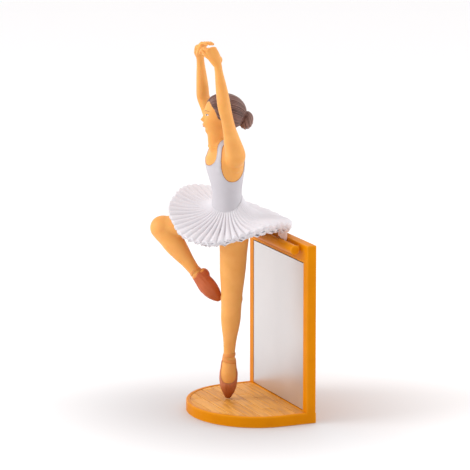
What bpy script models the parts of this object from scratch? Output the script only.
"""Ballerina play figure on a half-round plank floor with a framed mirror wall and a barre.

Right-handed frame: X runs along the mirror, Y from the dancer's front to the wall, Z up.
The origin is on the underside at the middle of the floor's plan. The dancer faces -Y.
"""
import math

import bmesh
import bpy
from mathutils import Vector

MM = 0.001

# Dancer: every proportion below is a share of the height from toe tip to crown
HEIGHT = 86.0 * MM

# Stand
FLOOR_WIDTH = 40.0 * MM
FLOOR_DEPTH = 28.8 * MM
FLOOR_THICK = 3.1 * MM
FLOOR_NOSE = 18.2 * MM
FLOOR_EDGE = 0.35 * MM
FOOT_EDGE = 0.15 * MM
RIM_WIDTH = 1.1 * MM
PLANK_SINK = 0.15 * MM
WALL_THICK = 2.8 * MM
WALL_EDGE = 0.30 * MM
POST_WIDTH = 2.6 * MM
HEADER_HEIGHT = 5.0 * MM
MIRROR_THICK = 0.9 * MM
MIRROR_SET_BACK = 0.1 * MM
BARRE_RADIUS = 1.3 * MM
BARRE_END = 3.2 * MM
BARRE_GAP = 1.0 * MM
BARRE_TOP_DROP = 0.2 * MM
BRACKET_RADIUS = 0.75 * MM
BRACKET_END = 2.3 * MM
FIT = 0.3 * MM
TOE_OFF_MIDDLE = 3.7 * MM
TOE_TO_WALL = 13.5 * MM
SKIRT_OVER_WALL = 4.85 * MM

WALL_BACK = FLOOR_DEPTH / 2
WALL_FRONT = WALL_BACK - WALL_THICK
RECESS_DEPTH = MIRROR_SET_BACK + MIRROR_THICK + FIT
TOE_X = -TOE_OFF_MIDDLE
TOE_Y = WALL_FRONT - TOE_TO_WALL
TOE_Z = FLOOR_THICK - PLANK_SINK + FIT
SKIRT_Z = TOE_Z + 0.600 * HEIGHT
WALL_HEIGHT = SKIRT_Z - SKIRT_OVER_WALL
HEADER_UNDERSIDE = WALL_HEIGHT - HEADER_HEIGHT

# Tutu
TUTU_RADIUS = 17.1 * MM
TUTU_PLEATS = 48
TUTU_PLEAT = 0.34 * MM
TUTU_LINE = math.radians(67.0)
TUTU_FALL = -0.12
TUTU_ROLL = -0.16
TUTU_TWIST = 21.0
TUTU_SAG = -1.0


def at(x, y, z):
    """A point of the figure from its shares of the height, measured from the supporting toe."""
    return Vector((TOE_X + x * HEIGHT, TOE_Y + y * HEIGHT, TOE_Z + z * HEIGHT))


JOINT = {
    "ankle_left": at(0.003, 0.002, 0.136),
    "knee_left": at(0.013, 0.007, 0.334),
    "hip_left": at(0.037, 0.006, 0.560),
    "hip_right": at(-0.053, 0.000, 0.578),
    "knee_right": at(-0.160, -0.165, 0.549),
    "ankle_right": at(-0.064, -0.078, 0.402),
    "toe_right": at(-0.017, -0.026, 0.330),
    "shoulder_left": at(0.070, -0.004, 0.812),
    "elbow_left": at(0.136, -0.070, 0.984),
    "wrist_left": at(0.084, -0.070, 1.107),
    "knuckle_left": at(0.054, -0.083, 1.160),
    "tip_left": at(0.020, -0.093, 1.139),
    "shoulder_right": at(-0.087, 0.010, 0.811),
    "elbow_right": at(-0.155, -0.022, 0.972),
    "wrist_right": at(-0.102, -0.054, 1.108),
    "knuckle_right": at(-0.088, -0.058, 1.150),
    "tip_right": at(-0.044, -0.038, 1.158),
}

# Half-width and half-depth against the share of the bone's length
THIGH = ((0.00, 0.050, 0.052), (0.28, 0.045, 0.046), (0.57, 0.042, 0.042), (0.87, 0.036, 0.036))
SHIN = ((0.00, 0.034, 0.035), (0.19, 0.033, 0.034), (0.36, 0.032, 0.034), (0.54, 0.027, 0.029),
        (0.70, 0.022, 0.023), (0.88, 0.019, 0.019), (1.00, 0.019, 0.019))
UPPER_ARM = ((0.00, 0.034, 0.033), (0.28, 0.028, 0.028), (0.55, 0.021, 0.021), (0.80, 0.020, 0.020))
FOREARM = ((0.00, 0.021, 0.021), (0.25, 0.020, 0.021), (0.55, 0.017, 0.017), (0.82, 0.0135, 0.013),
           (1.00, 0.0125, 0.011))
FOOT = ((0.00, 0.020, 0.021), (0.22, 0.024, 0.026), (0.48, 0.028, 0.027), (0.74, 0.025, 0.022),
        (0.92, 0.016, 0.015), (1.00, 0.010, 0.010))
# Centre and half-sizes of the trunk's sections
TRUNK = (
    (0.000, 0.550, 0.068, 0.050), (0.001, 0.582, 0.068, 0.051), (0.001, 0.612, 0.058, 0.047),
    (0.000, 0.645, 0.054, 0.046), (0.000, 0.690, 0.053, 0.046), (-0.002, 0.733, 0.062, 0.054),
    (-0.005, 0.770, 0.071, 0.061), (-0.008, 0.803, 0.076, 0.058), (-0.018, 0.830, 0.060, 0.044),
    (-0.030, 0.848, 0.036, 0.032),
)
TRUNK_X = -0.010


def clear_scene():
    """Empty the scene before building."""
    for item in list(bpy.data.objects):
        bpy.data.objects.remove(item, do_unlink=True)


def make_material(name, color, roughness, metallic=0.0):
    """A plain material for one sub-part."""
    mat = bpy.data.materials.new(name)
    mat.use_nodes = True
    shader = mat.node_tree.nodes["Principled BSDF"]
    shader.inputs["Base Color"].default_value = (*color, 1.0)
    shader.inputs["Roughness"].default_value = roughness
    shader.inputs["Metallic"].default_value = metallic
    return mat


def make_object(name, bm, mat=None, smooth=True):
    """Turn a bmesh into a named object in the scene."""
    bmesh.ops.recalc_face_normals(bm, faces=bm.faces)
    mesh = bpy.data.meshes.new(name)
    bm.to_mesh(mesh)
    bm.free()
    for face in mesh.polygons:
        face.use_smooth = smooth
    item = bpy.data.objects.new(name, mesh)
    bpy.context.scene.collection.objects.link(item)
    if mat is not None:
        mesh.materials.append(mat)
    return item


def stack(bm, rings):
    """Join rings of equal count into a closed body with flat ends."""
    rows = [[bm.verts.new(point) for point in ring] for ring in rings]
    count = len(rows[0])
    for low, high in zip(rows, rows[1:]):
        for i in range(count):
            j = (i + 1) % count
            bm.faces.new((low[i], low[j], high[j], high[i]))
    bm.faces.new(list(reversed(rows[0])))
    bm.faces.new(rows[-1])


def floor_outline(inset, z, arc=30):
    """The half-round plan of the floor, moved in by an inset."""
    half = FLOOR_WIDTH / 2 - inset
    back = FLOOR_DEPTH / 2 - inset
    nose = FLOOR_NOSE - inset
    start = FLOOR_NOSE - FLOOR_DEPTH / 2
    ring = [Vector((half, back, z)), Vector((-half, back, z))]
    for i in range(arc + 1):
        turn = math.pi * i / arc
        ring.append(Vector((-half * math.cos(turn), start - nose * math.sin(turn), z)))
    return ring


def rectangle(x0, x1, y0, y1, z, corner):
    """A rectangle with cut corners, for uprights with eased edges."""
    pts = [(x0 + corner, y0), (x1 - corner, y0), (x1, y0 + corner), (x1, y1 - corner)]
    pts += [(x1 - corner, y1), (x0 + corner, y1), (x0, y1 - corner), (x0, y0 + corner)]
    return [Vector((x, y, z)) for x, y in pts]


def block(bm, low, high):
    """A plain box between two corners."""
    rings = []
    for z in (low[2], high[2]):
        rings.append([Vector((x, y, z)) for x, y in
                      ((low[0], low[1]), (high[0], low[1]), (high[0], high[1]), (low[0], high[1]))])
    stack(bm, rings)


def frame_of(direction, side_hint):
    """Side and front axes square to a direction."""
    forward = direction.normalized()
    side = side_hint - forward * side_hint.dot(forward)
    side.normalize()
    return side, forward.cross(side).normalized()


def spline(points, per_span):
    """A smooth run of values through the given stations."""
    out = []
    for i in range(len(points) - 1):
        p0 = points[max(i - 1, 0)]
        p1 = points[i]
        p2 = points[i + 1]
        p3 = points[min(i + 2, len(points) - 1)]
        for step in range(per_span):
            t = step / per_span
            out.append(tuple(
                0.5 * (2 * b + (c - a) * t + (2 * a - 5 * b + 4 * c - d) * t * t
                       + (3 * b - a - 3 * c + d) * t * t * t)
                for a, b, c, d in zip(p0, p1, p2, p3)))
    out.append(tuple(points[-1]))
    return out


def limb(bm, stations, side_hint, per_span=3, sides=18, dome=0.75):
    """A rounded limb through stations of centre, half-width and half-depth."""
    runs = spline([(*s[0], s[1], s[2]) for s in stations], per_span)
    centres = [Vector(r[:3]) for r in runs]
    rings = []
    for i, run in enumerate(runs):
        ahead = centres[min(i + 1, len(centres) - 1)] - centres[max(i - 1, 0)]
        side, front = frame_of(ahead, side_hint)
        ring = []
        for k in range(sides):
            turn = math.tau * k / sides
            ring.append(centres[i] + side * (run[3] * math.cos(turn)) + front * (run[4] * math.sin(turn)))
        rings.append((centres[i], ahead.normalized(), ring))
    start = dome_rings(rings[0], -1.0, dome * min(runs[0][3:5]))
    end = dome_rings(rings[-1], 1.0, dome * min(runs[-1][3:5]))
    stack(bm, list(reversed(start)) + [r[2] for r in rings] + end)


def dome_rings(ring, sign, rise, steps=3):
    """Shrinking rings that close a limb with a rounded end."""
    centre, ahead, points = ring
    out = []
    for i in range(1, steps + 1):
        turn = 0.48 * math.pi * i / steps
        lift = ahead * (sign * rise * math.sin(turn))
        out.append([centre + (p - centre) * math.cos(turn) + lift for p in points])
    return out


def ball(bm, centre, radii, lean=0.0):
    """An ellipsoid, leaned about X."""
    rings = []
    for i in range(1, 12):
        polar = math.pi * i / 12
        ring = []
        for k in range(20):
            turn = math.tau * k / 20
            x = radii[0] * math.sin(polar) * math.cos(turn)
            y = radii[1] * math.sin(polar) * math.sin(turn)
            z = -radii[2] * math.cos(polar)
            y, z = y * math.cos(lean) - z * math.sin(lean), y * math.sin(lean) + z * math.cos(lean)
            ring.append(centre + Vector((x, y, z)))
        rings.append(ring)
    stack(bm, rings)


def bone(start, end, profile, swell=0.0):
    """Stations along one bone from its profile, fuller at the start by a share."""
    return [(start.lerp(end, t), w * HEIGHT * (1 + swell * (1 - t)), d * HEIGHT * (1 + swell * (1 - t)))
            for t, w, d in profile]


def add_leg(bm, hip, knee, ankle, toe, side_hint, heel_way, swell):
    """Thigh, shin, heel and pointed shoe of one leg, its calf pressed fuller where the knee is bent."""
    limb(bm, bone(hip, knee, THIGH, swell) + bone(knee, ankle, SHIN, swell), side_hint)
    ball(bm, knee, [0.036 * HEIGHT * (1 + swell)] * 3)
    limb(bm, bone(ankle, toe, FOOT), side_hint, dome=0.6)
    heel = ankle.lerp(toe, 0.10) + heel_way * (0.012 * HEIGHT)
    ball(bm, heel, [0.021 * HEIGHT, 0.021 * HEIGHT, 0.022 * HEIGHT])


def add_arm(bm, side):
    """Upper arm, forearm and hand of one arm."""
    shoulder = JOINT["shoulder_" + side]
    elbow = JOINT["elbow_" + side]
    wrist = JOINT["wrist_" + side]
    knuckle = JOINT["knuckle_" + side]
    tip = JOINT["tip_" + side]
    hint = Vector((0.0, 1.0, 0.0))
    root = shoulder.lerp(at(TRUNK_X, 0.004, 0.745), 0.42)
    limb(bm, [(root, 0.030 * HEIGHT, 0.026 * HEIGHT)] + bone(shoulder, elbow, UPPER_ARM)
         + bone(elbow, wrist, FOREARM), hint)
    palm = [(wrist, 0.0125 * HEIGHT, 0.010 * HEIGHT),
            (wrist.lerp(knuckle, 0.45), 0.023 * HEIGHT, 0.011 * HEIGHT),
            (knuckle, 0.020 * HEIGHT, 0.010 * HEIGHT)]
    limb(bm, palm, hint)
    spread, _ = frame_of(tip - knuckle, hint)
    for k in range(4):
        shift = (k - 1.5) * 0.0095 * HEIGHT
        reach = 1.0 - 0.09 * abs(k - 1.3)
        root = knuckle + spread * shift
        end = knuckle + (tip - knuckle) * reach + spread * (shift * 0.55)
        mid = root.lerp(end, 0.5) + (knuckle - wrist).normalized() * (0.007 * HEIGHT)
        size = 0.0062 * HEIGHT
        limb(bm, [(root, size, size), (mid, size, size), (end, size * 0.75, size * 0.75)], hint, sides=10)
    thumb_root = wrist.lerp(knuckle, 0.35) - spread * (0.010 * HEIGHT)
    thumb_tip = knuckle.lerp(tip, 0.45) - spread * (0.016 * HEIGHT)
    size = 0.0068 * HEIGHT
    limb(bm, [(thumb_root, size, size), (thumb_root.lerp(thumb_tip, 0.5), size, size),
              (thumb_tip, size * 0.8, size * 0.8)], hint, sides=10)


def add_trunk(bm):
    """Hips, waist, ribcage, bust and neck."""
    stations = [(at(TRUNK_X, y, z), w * HEIGHT, d * HEIGHT) for y, z, w, d in TRUNK]
    limb(bm, stations, Vector((1.0, 0.0, 0.0)), sides=28, dome=0.5)
    for way in (-1, 1):
        ball(bm, at(TRUNK_X + way * 0.029, -0.032, 0.768), [0.032 * HEIGHT, 0.025 * HEIGHT, 0.031 * HEIGHT])
    neck = [(at(TRUNK_X, -0.030, 0.828), 0.030 * HEIGHT, 0.030 * HEIGHT),
            (at(TRUNK_X, -0.037, 0.855), 0.026 * HEIGHT, 0.027 * HEIGHT),
            (at(TRUNK_X, -0.037, 0.895), 0.026 * HEIGHT, 0.028 * HEIGHT)]
    limb(bm, neck, Vector((1.0, 0.0, 0.0)))


def add_head(bm):
    """Head, simple face, hair drawn back and a bun."""
    ball(bm, at(TRUNK_X, -0.006, 0.945), [0.051 * HEIGHT, 0.067 * HEIGHT, 0.056 * HEIGHT], -0.2)
    ball(bm, at(TRUNK_X, -0.044, 0.917), [0.040 * HEIGHT, 0.036 * HEIGHT, 0.045 * HEIGHT])
    nose = [(at(TRUNK_X, -0.072, 0.932), 0.005 * HEIGHT, 0.005 * HEIGHT),
            (at(TRUNK_X, -0.079, 0.917), 0.006 * HEIGHT, 0.006 * HEIGHT)]
    limb(bm, nose, Vector((1.0, 0.0, 0.0)), sides=10)
    ball(bm, at(TRUNK_X, 0.026, 0.903), [0.036 * HEIGHT, 0.030 * HEIGHT, 0.036 * HEIGHT])
    ball(bm, at(TRUNK_X, 0.065, 0.912), [0.033 * HEIGHT, 0.024 * HEIGHT, 0.032 * HEIGHT])


def finish_body(item, voxel, passes, keep):
    """Melt the overlapping limbs into one skin and thin it to a light solid."""
    melt = item.modifiers.new("melt", "REMESH")
    melt.mode = "VOXEL"
    melt.voxel_size = voxel
    melt.use_smooth_shade = True
    ease = item.modifiers.new("ease", "SMOOTH")
    ease.factor = 0.5
    ease.iterations = passes
    thin = item.modifiers.new("thin", "DECIMATE")
    thin.ratio = keep


def build_dancer(mat):
    """The dancer as one casting."""
    bm = bmesh.new()
    add_trunk(bm)
    add_head(bm)
    add_arm(bm, "left")
    add_arm(bm, "right")
    add_leg(bm, JOINT["hip_left"], JOINT["knee_left"], JOINT["ankle_left"], at(0.0, 0.0, 0.0065),
            Vector((0.5, 0.9, 0.0)), Vector((-0.9, 0.4, 0.0)), 0.0)
    add_leg(bm, JOINT["hip_right"], JOINT["knee_right"], JOINT["ankle_right"], JOINT["toe_right"],
            Vector((0.4, -0.9, 0.0)), Vector((-0.1, 0.75, 0.65)), 0.10)
    item = make_object("dancer", bm, mat)
    finish_body(item, 0.26 * MM, 6, 0.026)
    return item


def tutu_height(x, y):
    """Height of the warped skirt over a plan offset from its middle: level behind, dipped in front."""
    along = x * math.cos(TUTU_LINE) + y * math.sin(TUTU_LINE)
    across = x * math.sin(TUTU_LINE) - y * math.cos(TUTU_LINE)
    return TUTU_FALL * along + TUTU_SAG * along * along + (TUTU_ROLL + TUTU_TWIST * along) * across


def tutu_point(turn, reach, drop, wave):
    """A point of the skirt at a turn, a share of the way out and a depth under the top."""
    hips = Vector((at(TRUNK_X, 0.001, 0.0).x, at(TRUNK_X, 0.001, 0.0).y, SKIRT_Z))
    middle = hips + Vector((0.0, 1.1 * MM, 0.0))
    way = Vector((math.cos(turn), math.sin(turn)))
    near = Vector((hips.x + (0.0555 * HEIGHT + FIT) * way.x, hips.y + (0.0465 * HEIGHT + FIT) * way.y))
    outer = TUTU_RADIUS * (1.0 + 0.012 * math.sin(5 * turn) + 0.010 * math.sin(9 * turn + 1.0))
    plan = near.lerp(Vector((middle.x, middle.y)) + way * outer, reach)
    x = plan.x - middle.x
    y = plan.y - middle.y
    lift = 3.1 * MM * math.exp(-4.0 * reach)
    ripple = wave * TUTU_PLEAT * math.cos(TUTU_PLEATS * turn) * min(1.0, 0.25 + reach)
    sway = 0.30 * MM * reach * reach * math.sin(4 * turn + 0.6)
    full = 1.0 + 0.25 * math.sin(turn + 0.9)
    return Vector((plan.x, plan.y, middle.z + tutu_height(x, y) + lift + ripple + sway - drop * full))


def build_tutu(mat):
    """The stiff pleated skirt as one ring with three layers at the rim."""
    section = ((0.00, 0.0, 0.3), (0.25, 0.0, 0.9), (0.60, 0.0, 1.0), (1.00, 0.05, 1.0),
               (0.99, 0.45, 0.8), (0.945, 0.80, 0.5), (0.965, 1.15, -0.5), (0.90, 1.65, -0.6),
               (0.60, 1.25, -0.4), (0.28, 0.9, -0.2), (0.02, 0.7, 0.0))
    steps = TUTU_PLEATS * 4
    bm = bmesh.new()
    rows = []
    for i in range(steps):
        turn = math.tau * i / steps
        rows.append([bm.verts.new(tutu_point(turn, s[0], s[1] * MM, s[2])) for s in section])
    for i in range(steps):
        this = rows[i]
        after = rows[(i + 1) % steps]
        for k in range(len(section)):
            n = (k + 1) % len(section)
            bm.faces.new((this[k], after[k], after[n], this[n]))
    return make_object("tutu", bm, mat)


def build_floor():
    """The half-round floor with an eased edge, a rim band and a sunk plank field."""
    top = FLOOR_THICK
    steps = ((FOOT_EDGE, 0.0), (0.0, FOOT_EDGE), (0.0, top - FLOOR_EDGE),
             (0.3 * FLOOR_EDGE, top - 0.3 * FLOOR_EDGE), (FLOOR_EDGE, top), (RIM_WIDTH, top),
             (RIM_WIDTH + 0.5 * PLANK_SINK, top - PLANK_SINK))
    bm = bmesh.new()
    stack(bm, [floor_outline(inset, z) for inset, z in steps])
    return make_object("floor", bm, smooth=False)


def build_wall():
    """The wall behind the dancer with its mirror recess."""
    half = FLOOR_WIDTH / 2
    ease = WALL_EDGE
    root = FLOOR_THICK / 2
    bm = bmesh.new()
    stack(bm, [rectangle(-half, half, WALL_FRONT, WALL_BACK, root, ease),
               rectangle(-half, half, WALL_FRONT, WALL_BACK, WALL_HEIGHT - ease, ease),
               rectangle(-half + ease, half - ease, WALL_FRONT + ease, WALL_BACK - ease, WALL_HEIGHT, ease)])
    return make_object("wall", bm, smooth=False)


def build_recess_cutter():
    """The space the mirror plate is set in."""
    half = FLOOR_WIDTH / 2 - POST_WIDTH
    bm = bmesh.new()
    block(bm, (-half, WALL_FRONT - 1.0 * MM, FLOOR_THICK), (half, WALL_FRONT + RECESS_DEPTH, HEADER_UNDERSIDE))
    return make_object("recess", bm, smooth=False)


def build_barre():
    """The round rail and its two brackets."""
    axis_y = WALL_FRONT - BARRE_GAP - BARRE_RADIUS
    axis_z = WALL_HEIGHT - BARRE_TOP_DROP - BARRE_RADIUS
    half = FLOOR_WIDTH / 2 - BARRE_END
    bm = bmesh.new()
    limb(bm, [(Vector((-half, axis_y, axis_z)), BARRE_RADIUS, BARRE_RADIUS),
              (Vector((half, axis_y, axis_z)), BARRE_RADIUS, BARRE_RADIUS)],
         Vector((0.0, 1.0, 0.0)), per_span=1, sides=16, dome=0.35)
    rail = make_object("rail", bm)
    brackets = []
    for way in (-1, 1):
        x = way * (half - BRACKET_END)
        bm = bmesh.new()
        limb(bm, [(Vector((x, axis_y, axis_z)), BRACKET_RADIUS, BRACKET_RADIUS),
                  (Vector((x, WALL_FRONT + WALL_THICK / 4, axis_z)), BRACKET_RADIUS, BRACKET_RADIUS)],
             Vector((1.0, 0.0, 0.0)), per_span=1, sides=12, dome=0.1)
        brackets.append(make_object("bracket", bm))
    return [rail] + brackets


def combine(target, tool, operation):
    """Join or cut one body with another and drop the tool."""
    change = target.modifiers.new(operation.lower(), "BOOLEAN")
    change.operation = operation
    change.solver = "EXACT"
    change.object = tool
    bpy.context.view_layer.update()
    ready = target.evaluated_get(bpy.context.evaluated_depsgraph_get())
    mesh = bpy.data.meshes.new_from_object(ready)
    target.modifiers.clear()
    target.data = mesh
    bpy.data.objects.remove(tool, do_unlink=True)


def build_stand(mat):
    """Floor, wall and barre as one casting."""
    stand = build_floor()
    combine(stand, build_wall(), "UNION")
    combine(stand, build_recess_cutter(), "DIFFERENCE")
    for piece in build_barre():
        combine(stand, piece, "UNION")
    stand.name = "stand"
    stand.data.name = "stand"
    stand.data.materials.clear()
    stand.data.materials.append(mat)
    return stand


def build_mirror(mat):
    """The mirror plate with a gap all round inside its recess."""
    half = FLOOR_WIDTH / 2 - POST_WIDTH - FIT
    front = WALL_FRONT + MIRROR_SET_BACK
    bm = bmesh.new()
    block(bm, (-half, front, FLOOR_THICK + FIT), (half, front + MIRROR_THICK, HEADER_UNDERSIDE - FIT))
    return make_object("mirror", bm, mat, smooth=False)


def main():
    """Build every piece in its resting place."""
    clear_scene()
    build_stand(make_material("orange_plastic", (0.72, 0.24, 0.01), 0.38))
    build_mirror(make_material("mirror_film", (0.80, 0.80, 0.80), 0.12, 1.0))
    build_dancer(make_material("painted_skin", (0.86, 0.44, 0.16), 0.5))
    build_tutu(make_material("white_paint", (0.86, 0.86, 0.89), 0.55))


main()
